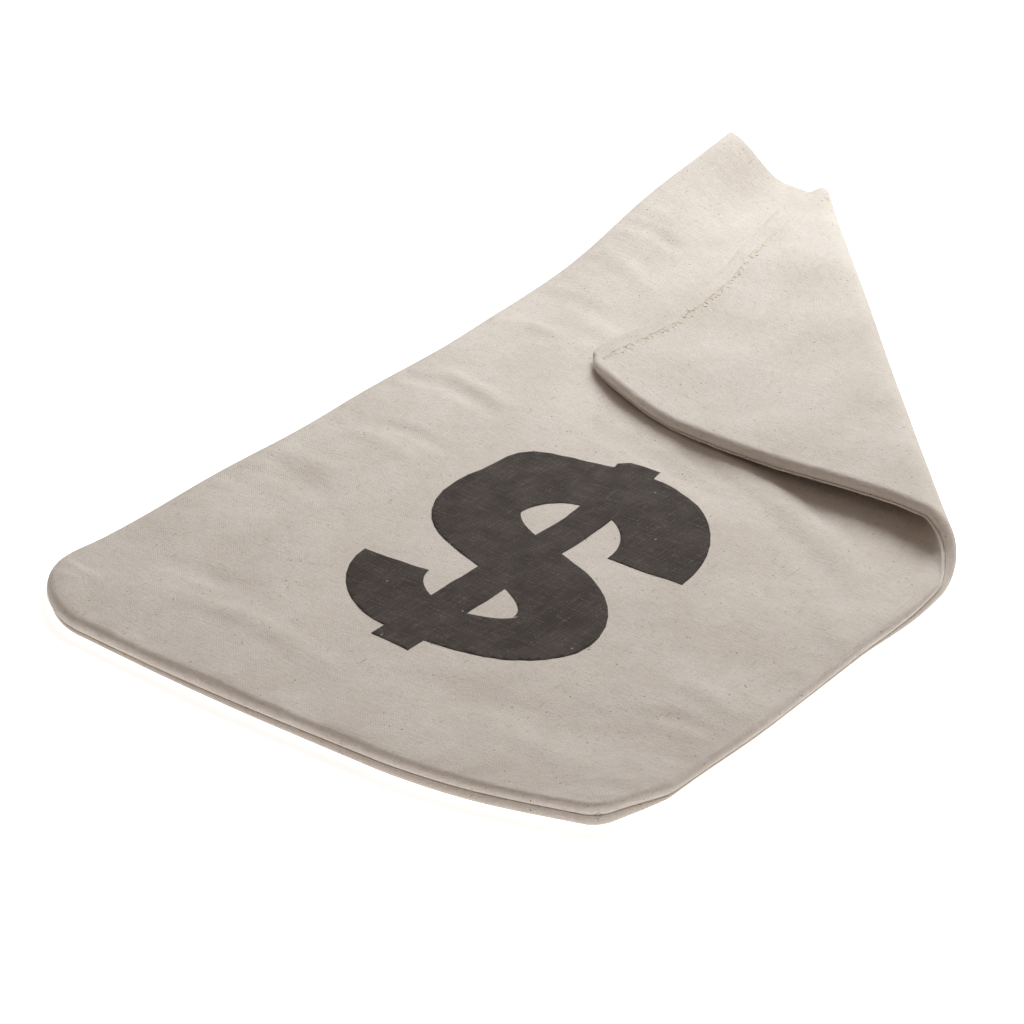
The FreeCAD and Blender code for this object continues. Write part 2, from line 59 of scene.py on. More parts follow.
HALF_WIDTH = 150 * MM
HALF_LENGTH = 260 * MM
CLOTH = 0.8 * MM
EDGE_CLOTH = 8.4 * MM                # band along a seam that is meshed finely, for the roll
EDGE_START = math.radians(-60)       # where round the roll the seam sits, from straight out
EDGE_EXTRA = 3.4 * MM                # how much wider than the bag each panel is cut for that
EDGE_SETTLE = 26 * MM                # from the seam to where the roll's height has died away
HEM_TURN = 0.9 * MM                  # radius of the turned mouth edge
HEM_WIDTH = 12 * MM
ALLOWANCE_INSET = 10.2 * MM          # from the cut edge, past the cloth of the roll
ALLOWANCE_WIDTH = 9 * MM
POCKET = 6.6 * MM                    # skin to skin in the middle of the bag
FLAP_POCKET = 4.4 * MM               # skin to skin in the fold and the turned corner
BOTTOM_SWELL = 2.6 * MM              # how much fuller the bag is towards the bottom
MOUTH_PARTING = 0.6 * MM             # how much further apart the lips of the mouth are
FLAP_PARTING = 0.9 * MM              # the same on the turned corner
SIDE_ROLL = 5.6 * MM                 # skin to skin over the roll at the side seams
BOTTOM_ROLL = 9.4 * MM               # the same at the bottom seam
FLAP_ROLL = 7 * MM                   # the same round the fold and the turned corner
FLAP_SAG = 2.5 * MM                  # how far the turned corner sinks towards the bag
LEFT_CORNER = 46 * MM                # rounding of the bottom corners
RIGHT_CORNER = 7 * MM
TIP_CORNER = 15 * MM
PRINT_HEIGHT = 0.14 * MM             # top of the print's film above the cloth
MESH_STEP = 2.6 * MM
FINE_STEPS = 12                      # quads across the fine band at a seam

CREASE_START = np.array((-HALF_WIDTH, 110 * MM))
CREASE_END = np.array((HALF_WIDTH, -29 * MM))
CREASE_SOFT = 32 * MM
LIFT = math.radians(5.5)

FOLD_START = np.array((HALF_WIDTH, -25 * MM))
FOLD_END = np.array((-98 * MM, HALF_LENGTH))
ROLL_RIGHT = 10.5 * MM
ROLL_MOUTH = 7.5 * MM
FOLD_TURN = math.radians(180.2)
TIP_DRAW = np.array((-20.5, -22)) * MM  # the turned corner is drawn in this much at its tip
TIP_PAST = 153 * MM                  # from the roll to the corner's tip
CORNER_FLAT = (225 * MM, 300 * MM)   # flat size of the cloth beyond the middle of the roll

SIGN_CENTRE = np.array((5.5, -104)) * MM
SIGN_TALL = 20 * MM                  # how far up and down its shapes stand while they are joined


def unit(vector):
    return vector / np.linalg.norm(vector)


def smooth(value, low, high):
    """0 at low, 1 at high, an even curve between them and level past them; either may be larger."""
    share = np.clip((value - low) / (high - low), 0, 1)
    return share * share * (3 - 2 * share)


def bump(value, centre, reach):
    """A round hill, 1 at its centre and 0 past its reach."""
    share = np.clip(1 - ((value - centre) / reach) ** 2, 0, 1)
    return share * share


crease_along = unit(CREASE_END - CREASE_START)
crease_away = np.array((-crease_along[1], crease_along[0]))
fold_length = np.linalg.norm(FOLD_END - FOLD_START)
fold_along = (FOLD_END - FOLD_START) / fold_length
fold_out = np.array((fold_along[1], -fold_along[0]))
roll_taper = (ROLL_RIGHT - ROLL_MOUTH) / fold_length
cut_half_width = HALF_WIDTH + EDGE_EXTRA
cut_bottom = -HALF_LENGTH - EDGE_EXTRA


def roll_radius(along):
    return ROLL_RIGHT - roll_taper * np.clip(along, -20 * MM, fold_length + 20 * MM)


# ---------------------------------------------------------------- unevenness of the cloth

def waves(place, seed, count, shortest, longest):
    """Sum of level waves in seeded directions, about -1 to 1."""
    draw = np.random.default_rng(seed)
    total = np.zeros(len(place))
    for length in np.geomspace(shortest, longest, count):
        angle, phase = draw.uniform(0, math.pi), draw.uniform(0, 2 * math.pi)
        across = place @ np.array((math.cos(angle), math.sin(angle)))
        total += np.sin(2 * math.pi * across / length + phase)
    return total / math.sqrt(count)


# Soft creases of the front, in mm: where each starts and ends, its half width and its height.
CREASES = [
    ((-40, 22), (148, -58), 12, 2.2),
    ((-50, 2), (140, -80), 9, -1.4),
    ((10, -14), (150, -92), 9, 1.2),
    ((-142, -10), (-70, -24), 7, -1.1),
    ((-142, 0), (-84, -10), 6, 1.1),
    ((-128, -56), (-74, -60), 6, -1.0),
    ((-140, -68), (-80, -78), 8, 1.0),
    ((-142, -114), (-84, -128), 10, -0.9),
    ((-142, -100), (-96, -108), 8, 0.6),
    ((-142, 66), (-100, 58), 6, 1.2),
    ((-142, 98), (-92, 84), 9, -0.7),
    ((-142, 140), (-96, 122), 10, 0.9),
    ((-142, 168), (-104, 160), 6, -1.0),
    ((-118, -204), (-52, -204), 9, -1.0),
    ((-100, -222), (10, -226), 9, 1.1),
    ((20, -216), (110, -204), 12, -0.7),
    ((60, -222), (136, -236), 11, 0.8),
    ((104, -180), (146, -172), 7, -0.8),
    ((100, -150), (146, -158), 8, 0.8),
    ((-20, 70), (-128, 90), 10, 1.0),
]
CREASE_BOW = 0.06                    # how far a crease bows off a straight line, in its lengths


def crease_relief(place):
    total = np.zeros(len(place))
    for start, end, half_width, height in CREASES:
        first, last = np.array(start) * MM, np.array(end) * MM
        length = np.linalg.norm(last - first)
        along = (place - first) @ ((last - first) / length) / length
        across = (place - first) @ np.array(((first - last)[1], (last - first)[0])) / length
        bowed = across - CREASE_BOW * length * np.sin(math.pi * np.clip(along, 0, 1))
        fading = bump(along, 0.5, 0.62)
        total += height * MM * bump(bowed, 0, half_width * MM) * fading
    return total


def pucker_relief(place):
    """Short gathers square to the seams: strongest on the left, where they slope off it."""
    total = np.zeros(len(place))
    x, y = place[:, 0], place[:, 1]
    start = 5 * MM
    left = (x + HALF_WIDTH, y + 0.3 * (x + HALF_WIDTH), 5, 0.42 * MM, 32 * MM)
    right = (HALF_WIDTH - x, y, 6, 0.4 * MM, 24 * MM)
    bottom = (y + HALF_LENGTH, x, 7, 0.4 * MM, 22 * MM)
    for from_seam, along, seed, height, reach in (left, right, bottom):
        drift = np.stack((along, from_seam * 0.25), axis=1)
        fine = waves(drift, seed, 6, 9 * MM, 24 * MM)
        uneven = waves(drift, seed + 20, 3, 50 * MM, 130 * MM)
        strength = 0.45 + 0.55 * smooth(uneven, -0.6, 0.9)
        fading = (1 - smooth(from_seam, start, reach)) * smooth(from_seam, 0.0, start)
        total += height * fine * strength * fading
    return total


def front_relief(place):
    hills = 0.8 * MM * waves(place, 11, 6, 55 * MM, 170 * MM)
    ripples = 0.13 * MM * waves(place, 12, 8, 9 * MM, 34 * MM)
    return hills + ripples + crease_relief(place) + pucker_relief(place)


def flap_relief(place):
    """The turned corner is a gentle wave; both its plies follow it."""
    hills = 0.8 * MM * waves(place, 31, 5, 50 * MM, 150 * MM)
    return hills + 0.1 * MM * waves(place, 32, 7, 9 * MM, 30 * MM)


# ---------------------------------------------------------------- laying flat cloth

def corner_map(from_left, from_bottom, radius):
    """Rounds a square corner: distances in from its two sides, moved to a quarter disc."""
    across = np.clip((radius - from_left) / radius, 0, None)
    down = np.clip((radius - from_bottom) / radius, 0, None)
    larger = np.maximum(np.maximum(across, down), 1e-9)
    angle = math.pi / 4 * np.minimum(across, down) / larger
    steep = down > across
    turned = np.where(steep, math.pi / 2 - angle, angle)
    inside = (across > 0) & (down > 0)
    new_left = np.where(inside, radius - larger * radius * np.cos(turned), from_left)
    new_bottom = np.where(inside, radius - larger * radius * np.sin(turned), from_bottom)
    return new_left, new_bottom


OUTLINE_REACH = 110 * MM             # how far in from an edge its waves are felt
RIGHT_REACH = 80 * MM                # the same from the right seam
CORNER_RISE = 20 * MM                # how far up the bottom right corner is pulled
CORNER_DRAW = 9.5 * MM               # how far in it is pulled
RISE_FROM = 52 * MM                  # where along the bottom and the right seam the pull starts
DRAW_FROM = -222 * MM
BOW = 20 * MM                        # how far out the right seam bows beside the turned corner
BOW_FROM = 42 * MM
SEAM_WAVE = 0.7 * MM                 # the left seam's small waves, and their length
SEAM_WAVE_LENGTH = 17 * MM


def bow_bottom(x):
    """How far up the bottom edge lies."""
    pulled = np.clip((x - RISE_FROM) / (HALF_WIDTH - RISE_FROM), 0, 1.1)
    return CORNER_RISE * pulled ** 1.6 + 0.8 * MM - 2.4 * MM * bump(x, -30 * MM, 110 * MM)


def bow_mouth(x):
    """How far up the mouth edge lies."""
    return 5.4 * MM * bump(x, -53 * MM, 50 * MM) - 17 * MM * bump(x, 74 * MM, 95 * MM)


def bow_left(y):
    """How far to the right the left seam lies: pulled in towards the bottom, with small waves."""
    low = 3.2 * MM * (1 - smooth(y, -30 * MM, 110 * MM))
    lower = 3.5 * MM * (1 - smooth(y, -240 * MM, 140 * MM))
    return low + lower + SEAM_WAVE * np.sin(y / SEAM_WAVE_LENGTH)


def bow_right(y):
    """How far to the right the right seam lies, up to the turned corner."""
    pulled = np.clip((DRAW_FROM - y) / (HALF_LENGTH + DRAW_FROM), 0, 1.1)
    low = 2.5 * MM * (1 - smooth(y, -215 * MM, -140 * MM))
    return -CORNER_DRAW * pulled ** 1.3 - low + 2 * MM * bump(y, -42 * MM, 45 * MM)


def bow_outline(place):
    """The true outline isn't a rectangle: its bottom right corner is pulled in and its sides wave."""
    x, y = place[:, 0], place[:, 1]
    near_bottom = 1 - smooth(y, -HALF_LENGTH, -HALF_LENGTH + OUTLINE_REACH)
    near_mouth = smooth(y, HALF_LENGTH - OUTLINE_REACH, HALF_LENGTH)
    near_left = 1 - smooth(x, -HALF_WIDTH, -HALF_WIDTH + OUTLINE_REACH)
    near_right = smooth(x, HALF_WIDTH - RIGHT_REACH, HALF_WIDTH)
    beside_corner = np.clip((y - BOW_FROM) / (HALF_LENGTH - BOW_FROM), 0, 1)
    bowed = smooth(x, 10 * MM, HALF_WIDTH) * BOW * np.sin(math.pi * beside_corner ** 1.25)
    across = x + near_left * bow_left(y) + near_right * bow_right(y) + bowed
    return np.stack((across, y + near_bottom * bow_bottom(x) + near_mouth * bow_mouth(x)), axis=1)


def seam_height(plan, past_fold):
    """Skin to skin over the roll at a seam: thickest along the bottom, thinnest along the sides."""
    bottom = 1 - smooth(plan[:, 1], -HALF_LENGTH, -HALF_LENGTH + 60 * MM)
    body = SIDE_ROLL + (BOTTOM_ROLL - SIDE_ROLL) * bottom
    folded = smooth(past_fold, -70 * MM, 0.0)
    return body * (1 - folded) + FLAP_ROLL * folded


# The back panel's share of the height at each seam; along the bottom it grows from left to right.
LEFT_SHARE = 0.35
RIGHT_SHARE = 0.22
BOTTOM_SHARES = (0.25, 0.5)
FOLD_SHARE = 0.78


def back_share(plan, past_fold):
    """How much of the height at a seam is the back panel's roll; the rest is the front's."""
    least, most = BOTTOM_SHARES
    along_bottom = least + (most - least) * smooth(plan[:, 0], -120 * MM, 110 * MM)
    bottom = 1 - smooth(plan[:, 1], -HALF_LENGTH + 6 * MM, -HALF_LENGTH + 50 * MM)
    side = np.where(plan[:, 0] < 0, LEFT_SHARE, RIGHT_SHARE)
    folded = smooth(past_fold, -45 * MM, 15 * MM)
    return (along_bottom * bottom + side * (1 - bottom)) * (1 - folded) + FOLD_SHARE * folded


def pocket_height(flat, past_fold):
    """Skin to skin away from the seams."""
    mouth = smooth(flat[:, 1], HALF_LENGTH - 30 * MM, HALF_LENGTH - 8 * MM)
    folded = smooth(past_fold, -55 * MM, 4 * MM)
    bottom = 1 - smooth(flat[:, 1], -HALF_LENGTH, -HALF_LENGTH + 75 * MM)
    body = POCKET + MOUTH_PARTING * mouth + BOTTOM_SWELL * bottom
    flap = FLAP_POCKET + FLAP_PARTING * mouth
    return body * (1 - folded) + flap * folded


def crease_curve(distance):
    """Run, rise and slope of the cloth across the soft crease, by distance past its line."""
    inside = np.clip(distance + CREASE_SOFT, 0, 2 * CREASE_SOFT)
    slope = LIFT * inside / (2 * CREASE_SOFT)
    before = np.minimum(distance + CREASE_SOFT, 0)
    after = np.maximum(distance - CREASE_SOFT, 0)
    run = before - CREASE_SOFT + inside - LIFT ** 2 * inside ** 3 / (24 * CREASE_SOFT ** 2)
    rise = LIFT * inside ** 2 / (4 * CREASE_SOFT)
    return run + after * math.cos(LIFT), rise + after * math.sin(LIFT), slope


ROLL_BOW = 1.2 * MM                  # how far the roll is drawn in halfway along it
ROLL_FLARE = 2.5 * MM                # how far it stands out at the mouth


def draw_in(along, out, past):
    """How far the roll's outer edge lies inside a straight line: bowed, and fuller at the mouth."""
    share = np.clip(along / fold_length, 0, 1)
    bowed = ROLL_BOW * np.sin(math.pi * share) - ROLL_FLARE * share ** 2
    return bowed * smooth(out, -90 * MM, -5 * MM) * (1 - smooth(past, 0, 70 * MM))


def flap_sag(along, past):
    """How far the turned corner has sunk towards the bag below a flat plane."""
    mouth_side = smooth(along, 120 * MM, 300 * MM)
    return FLAP_SAG * mouth_side * smooth(past, 0, 60 * MM)


def wrap(plan, height, flat):
    """Takes plan places and heights over the bag's underside round the fold and up the crease."""
    beside = plan - FOLD_START
    along, out = beside @ fold_along, beside @ fold_out
    radius = roll_radius(along)
    turn = np.clip(out / radius, 0, FOLD_TURN)
    past = np.maximum(out - FOLD_TURN * radius, 0)
    drawn_in = draw_in(along, out, past)
    tip_draw = np.clip(past / TIP_PAST, 0, 1)[:, None] * TIP_DRAW
    past = past + tip_draw @ fold_out
    along = along + tip_draw @ fold_along
    along = along - roll_taper * (turn ** 2 * radius / 2 + FOLD_TURN * past)
    lying = smooth(past, 0, 60 * MM)
    wave = flap_relief(flat) * smooth(turn, 1.2, FOLD_TURN)
    reach = (radius - height) * np.sin(turn) + past * np.cos(turn) + np.minimum(out, 0) - drawn_in
    rise = radius - (radius - height) * np.cos(turn) + past * np.sin(turn)
    rise = rise + wave - flap_sag(along, past) * lying
    foot = FOLD_START + along[:, None] * fold_along
    place = foot + reach[:, None] * fold_out
    folded = out > 0
    anchor = np.where(folded[:, None], foot, place)
    at = (anchor - CREASE_START) @ crease_away
    run, lift, slope = crease_curve(at)
    slope = np.where(folded, LIFT, slope)
    swing = (place - anchor) @ crease_away
    run = run + swing * np.cos(slope) - rise * np.sin(slope)
    lift = lift + swing * np.sin(slope) + rise * np.cos(slope)
    level = (place - CREASE_START) @ crease_along
    ground = CREASE_START + level[:, None] * crease_along + run[:, None] * crease_away
    return np.column_stack((ground, lift))


CURL = 18 * MM                       # how high the free mouth corner curls up
MOUTH_DROP = 5 * MM                  # how much lower the mouth lies beside it


def settle(points):
    """The free mouth corner curls up off the table, and the mouth beside it lies lower."""
    x, y = points[:, 0], points[:, 1]
    reach = 70 * MM - 34 * MM * smooth(y, 150 * MM, 255 * MM)
    side = 1 - smooth(x, -HALF_WIDTH, -HALF_WIDTH + reach)
    beside = smooth(x, -HALF_WIDTH, -90 * MM)
    points[:, 2] += CURL * side * smooth(y, 70 * MM, 275 * MM)
    points[:, 2] -= MOUTH_DROP * beside * smooth(y, 150 * MM, 250 * MM)
    return points


def lay(flat, panel):
    """Places of flat points (X, Y on the cut cloth, Z above its outer skin) on the made-up bag."""
    across, down, depth = flat[:, 0], flat[:, 1], -flat[:, 2]
    turned = np.clip((down - HALF_LENGTH) / HEM_TURN, 0, math.pi)
    down = np.where(turned > 0, HALF_LENGTH + (HEM_TURN - depth) * np.sin(turned), down)
    depth = np.where(turned > 0, HEM_TURN - (HEM_TURN - depth) * np.cos(turned), depth)
    cut = [across + cut_half_width, cut_half_width - across, down - cut_bottom]
    bounded = np.stack((np.clip(across, -HALF_WIDTH, HALF_WIDTH),
                        np.clip(down, -HALF_LENGTH, HALF_LENGTH)), axis=1)
    past_fold = (bounded - FOLD_START) @ fold_out
    thick = seam_height(bounded, past_fold)
    share = back_share(bounded, past_fold)
    full_turn = 1 - math.sin(EDGE_START)
    radius = thick * (1 - share if panel == "front" else share) / full_turn
    larger = thick * np.maximum(share, 1 - share) / full_turn
    back_set = (larger - radius) * (1 - math.cos(EDGE_START))
    rolled = (math.pi / 2 - EDGE_START) * radius
    settle_in = rolled - radius - back_set - EDGE_EXTRA
    inside = []
    for distance in cut:
        angle = np.clip(EDGE_START + np.maximum(distance, 0) / radius, None, math.pi / 2)
        edge = back_set + radius - (radius - depth) * np.cos(angle)
        inside.append(edge + np.maximum(distance - rolled, 0)
                      + settle_in * smooth(distance, rolled, EDGE_SETTLE))
    on_left = across < 0
    side = np.where(on_left, inside[0], inside[1])
    side, bottom = corner_map(side, inside[2], np.where(on_left, LEFT_CORNER, RIGHT_CORNER))
    side, top = corner_map(side, HALF_LENGTH - down, np.where(on_left, 1e-6, TIP_CORNER))
    x = np.where(on_left, side - HALF_WIDTH, HALF_WIDTH - side)
    y = np.where(down > 0, HALF_LENGTH - top, bottom - HALF_LENGTH)
    plan = bow_outline(np.stack((x, y), axis=1))
    nearest = np.minimum(np.minimum(cut[0], cut[1]), cut[2])
    angle = np.clip(EDGE_START + np.maximum(nearest, 0) / radius, None, math.pi / 2)
    settled = smooth(nearest, rolled, EDGE_SETTLE)
    if panel == "front":
        height = thick - radius + (radius - depth) * np.sin(angle)
        height += (pocket_height(flat, past_fold) - thick) * settled
        on_bag = 1 - smooth(past_fold, -45 * MM, -8 * MM)
        height += front_relief(bounded) * on_bag * smooth(nearest, 2 * MM, 14 * MM)
    else:
        height = radius - (radius - depth) * np.sin(angle)
    return settle(wrap(plan, height, bounded))


# ---------------------------------------------------------------- making flat cloth

def add_object(name, data):
    piece = bpy.data.objects.new(name, data)
    bpy.context.scene.collection.objects.link(piece)
    return piece


def add_mesh(name, points, faces):
    mesh = bpy.data.meshes.new(name)
    mesh.from_pydata(points.tolist(), [], faces)
    return add_object(name, mesh)


def graded(low, high, seam_low, seam_high):
    """Places of the mesh lines from low to high, closer together in the roll at a seam."""
    fine = np.append(np.linspace(0, EDGE_CLOTH, FINE_STEPS + 1), EDGE_CLOTH + 1.2 * MM)
    start = low + fine if seam_low else np.array((low,))
    end = high - fine[::-1] if seam_high else np.array((high,))
    count = max(int(round((end[0] - start[-1]) / MESH_STEP)), 1)
    middle = np.linspace(start[-1], end[0], count + 1)[1:-1]
    return np.concatenate((start, middle, end))


def flat_grid(name, columns, rows, height):
    """A level net of quads facing up, as a new object."""
    x, y = np.meshgrid(columns, rows)
    points = np.column_stack((x.ravel(), y.ravel(), np.full(x.size, height)))
    width = len(columns)
    corner = (np.arange(len(rows) - 1)[:, None] * width + np.arange(width - 1)).ravel()
    faces = np.stack((corner, corner + 1, corner + 1 + width, corner + width), axis=1)
    return add_mesh(name, points, faces.tolist())


half_turn_normal = fold_out + math.pi / 2 * roll_taper * fold_along
half_turn_start = FOLD_START + math.pi / 2 * ROLL_RIGHT * fold_out


def past_half_turn(places):
    """Positive for flat places beyond the middle of the roll, on the turned corner's side."""
    return (places[:, :2] - half_turn_start) @ half_turn_normal


def keep_side(piece, side):
    """Cuts flat cloth along the middle of the roll and keeps the bag's side or the corner's."""
    net = bmesh.new()
    net.from_mesh(piece.data)
    bmesh.ops.bisect_plane(net, geom=net.verts[:] + net.edges[:] + net.faces[:],
                           plane_co=(*half_turn_start, 0), plane_no=(*half_turn_normal, 0),
                           clear_outer=side == "bag", clear_inner=side == "corner")
    net.to_mesh(piece.data)
    net.free()


def use(piece):
    bpy.ops.object.select_all(action="DESELECT")
    piece.select_set(True)
    bpy.context.view_layer.objects.active = piece


def apply_modifier(piece, kind, **settings):
    use(piece)
    modifier = piece.modifiers.new(kind.title(), kind)
    for name, value in settings.items():
        setattr(modifier, name, value)
    bpy.ops.object.modifier_apply(modifier=modifier.name)


def mesh_points(piece):
    points = np.empty(len(piece.data.vertices) * 3)
    piece.data.vertices.foreach_get("co", points)
    return points.reshape(-1, 3)


def flat_area(piece):
    return sum(face.area for face in piece.data.polygons)


def loop_points(piece):
    """The index of the point at each corner of each face."""
    loops = np.empty(len(piece.data.loops), int)
    piece.data.loops.foreach_get("vertex_index", loops)
    return loops


def mark_flat(piece, flat):
    """Keeps each corner's place on the cut cloth as the UV map, in metres."""
    layer = piece.data.uv_layers.new(name="UVMap")
    layer.data.foreach_set("uv", flat[loop_points(piece), :2].astype(np.float32).ravel())


def set_normals(piece, flat, panel):
    """At the cut in the roll, gives both sides the normal of the whole cloth."""
    step = 0.2 * MM
    facing_least = 0.8               # a face that turns further from the cloth keeps its own normal
    at_cut = np.abs(past_half_turn(flat)) < 0.02 * MM
    chosen = flat[at_cut]
    if not len(chosen):
        return
    right, up = np.array((step, 0, 0)), np.array((0, step, 0))
    normal = np.cross(lay(chosen + right, panel) - lay(chosen - right, panel),
                      lay(chosen + up, panel) - lay(chosen - up, panel))
    normal /= np.linalg.norm(normal, axis=1)[:, None]
    if panel == "back":
        normal = -normal
    whole = np.zeros((len(flat), 3))
    whole[at_cut] = normal
    wanted = whole[loop_points(piece)]
    for face in piece.data.polygons:
        corners = slice(face.loop_start, face.loop_start + face.loop_total)
        facing = wanted[corners] @ np.array(face.normal)
        kept = np.where(np.abs(facing) > facing_least, np.sign(facing), 0)
        wanted[corners] *= kept[:, None]
    piece.data.normals_split_custom_set(wanted.tolist())


def lay_piece(piece, panel):
    """Moves a flat piece to its place on the bag."""
    flat = mesh_points(piece)
    mark_flat(piece, flat)
    piece.data.vertices.foreach_set("co", lay(flat, panel).ravel())
    if panel == "back":
        piece.data.flip_normals()
    piece.data.polygons.foreach_set("use_smooth", [True] * len(piece.data.polygons))
    piece.data.update()
    set_normals(piece, flat, panel)


# ---------------------------------------------------------------- materials

class Value:
    """A number from a shader node, whose arithmetic adds Math nodes."""

    def __init__(self, paint, socket):
        self.paint, self.socket = paint, socket

    def math(self, operation, *others):
        return self.paint.node("ShaderNodeMath", {"operation": operation}, [self, *others])

    def __add__(self, other):
        return self.math("ADD", other)

    def __mul__(self, other):
        return self.math("MULTIPLY", other)

    def __sub__(self, other):
        return self.math("SUBTRACT", other)

    def __rsub__(self, other):
        return self.paint.node("ShaderNodeMath", {"operation": "SUBTRACT"}, [other, self])

    __radd__, __rmul__ = __add__, __mul__

    def to(self, low, high, first=0.0, last=1.0):
        """Smoothly maps low..high to first..last."""
        settings = {"interpolation_type": "SMOOTHSTEP"}
        return self.paint.node("ShaderNodeMapRange", settings, [self, low, high, first, last])


class Paint:
    """A material being made: one method adds any node."""

    def __init__(self, name, **finish):
        self.material = bpy.data.materials.new(name)
        self.material.use_nodes = True
        self.tree = self.material.node_tree
        self.shader = self.tree.nodes["Principled BSDF"]
        for socket, value in finish.items():
            self.shader.inputs[socket.replace("_", " ")].default_value = value

    def node(self, kind, settings, sockets, output=0):
        """Adds a node; its sockets are given in order, or by name or number."""
        made = self.tree.nodes.new(kind)
        for name, value in settings.items():
            setattr(made, name, value)
        named = sockets.items() if isinstance(sockets, dict) else enumerate(sockets)
        for socket, value in named:
            if isinstance(value, Value):
                self.tree.links.new(value.socket, made.inputs[socket])
            else:
                made.inputs[socket].default_value = value
        return Value(self, made.outputs[output])

    def flat(self, scale, turn=0.0):
        """Place on the cut cloth, scaled to a pattern's own unit."""
        place = self.node("ShaderNodeUVMap", {"uv_map": "UVMap"}, {})
        return self.node("ShaderNodeMapping", {"vector_type": "POINT"},
                         {"Vector": place, "Rotation": (0, 0, turn), "Scale": (*scale, 1)})

    def noise(self, place, detail=2.0, rough=0.5):
        return self.node("ShaderNodeTexNoise", {"noise_dimensions": "2D"},
                         {"Vector": place, "Scale": 1.0, "Detail": detail, "Roughness": rough})

    def mix(self, share, first, second):
        """A colour between two; 6 and 7 are the Mix node's colour sockets, 2 its colour output."""
        return self.node("ShaderNodeMix", {"data_type": "RGBA", "clamp_factor": True},
                         {0: share, 6: first, 7: second}, output=2)

    def wire(self, **values):
        for name, value in values.items():
            self.tree.links.new(value.socket, self.shader.inputs[name.replace("_", " ")])
        return self.material

    def relief(self, height, distance, strength=1.0):
        return self.node("ShaderNodeBump", {},
                         {"Height": height, "Distance": distance, "Strength": strength})


def rgb(red, green, blue):
    """Screen colour 0..255 as the linear colour a node takes."""
    linear = [((part / 255 + 0.055) / 1.055) ** 2.4 if part > 10 else part / 255 / 12.92
              for part in (red, green, blue)]
    return (*linear, 1.0)


THREADS = 1 / (0.62 * MM)            # threads in a metre of canvas
WANDER = 5.0                         # how far a thread wanders off its line


def weave(paint):
    """Plain weave: warp and weft pass over each other, each thread a little uneven."""
    drift = paint.noise(paint.flat((90, 90)), 2.0)
    place = paint.flat((THREADS * math.pi, THREADS * math.pi))
    warp, weft = ((paint.node("ShaderNodeSeparateXYZ", {}, [place], output=axis)
                   + drift * WANDER).math("SINE") for axis in (0, 1))
    over = (warp * weft) * 0.5 + 0.5
    uneven_warp = paint.noise(paint.flat((1500, 75)), 1.0)
    uneven_weft = paint.noise(paint.flat((75, 1500)), 1.0)
    return over, uneven_warp, uneven_weft


def specks(paint, across, along, turn, size, share):
    """Scattered fibres: the middle of a share of the cells, with so many cells a metre each way."""
    place = paint.flat((across, along), turn)
    near, cell = (paint.node("ShaderNodeTexVoronoi", {"voronoi_dimensions": "2D", "feature": "F1"},
                             {"Vector": place, "Scale": 1.0, "Randomness": 1.0}, output=output)
                  for output in (0, 1))
    chosen = paint.node("ShaderNodeSeparateColor", {}, [cell]).math("LESS_THAN", share)
    return near.to(size * 0.4, size, 1.0, 0.0) * chosen


def canvas_material(name, cream, shade, fuzz=0.0):
    paint = Paint(name, Roughness=0.92, Sheen_Weight=0.12, Sheen_Roughness=0.45,
                  Specular_IOR_Level=0.2)
    over, uneven_warp, uneven_weft = weave(paint)
    mottle = paint.noise(paint.flat((24, 24)), 4.0, 0.6)
    cloud = paint.noise(paint.flat((260, 260)), 3.0, 0.65)
    grain = paint.noise(paint.flat((760, 760)), 3.0, 0.7)
    tone = (mottle.to(0.35, 0.65) * 0.25 + cloud.to(0.3, 0.7) * 0.15 + grain.to(0.4, 0.6) * 0.3
            + uneven_warp.to(0.35, 0.65) * 0.15 + uneven_weft.to(0.35, 0.65) * 0.15)
    body = paint.mix(tone, shade, cream)
    # Painted shade: the canvas is darkened a little where the threads dip under each other in the
    # weave.
    dip_shaded = paint.mix((1 - over) * 0.12, body, rgb(166, 152, 136))
    slub = specks(paint, across=620, along=64, turn=0.0, size=0.3, share=0.1)
    cross_slub = specks(paint, across=64, along=620, turn=0.0, size=0.3, share=0.08)
    cluster = grain.to(0.46, 0.6) * cloud.to(0.42, 0.62)
    dip_shaded = paint.mix(cluster * 0.3, dip_shaded, rgb(172, 156, 138))
    pale = paint.mix((slub + cross_slub) * 0.2, dip_shaded, rgb(244, 239, 230))
    dark_slub = specks(paint, across=560, along=90, turn=0.4, size=0.24, share=0.03)
    seed_fleck = specks(paint, across=460, along=330, turn=0.7, size=0.2, share=0.045)
    husk = specks(paint, across=320, along=230, turn=2.1, size=0.14, share=0.02)
    flecked = paint.mix(dark_slub * 0.3, pale, rgb(150, 128, 104))
    flecked = paint.mix(seed_fleck * 0.4, flecked, rgb(124, 98, 72))
    flecked = paint.mix(husk * 0.7, flecked, rgb(86, 66, 50))
    if fuzz:
        flecked = paint.mix(cloud * fuzz, flecked, rgb(226, 208, 168))
    relief = (over * 0.4 + uneven_warp * 0.5 + uneven_weft * 0.5
              + (slub + cross_slub) * 0.3 + grain * 1.4 + cloud * 1.6 + mottle * 2.0)
    bumpy = paint.relief(relief, 0.16 * MM)
    return paint.wire(Base_Color=flecked, Normal=bumpy,
                      Roughness=tone.to(0.0, 1.0, 0.96, 0.86))


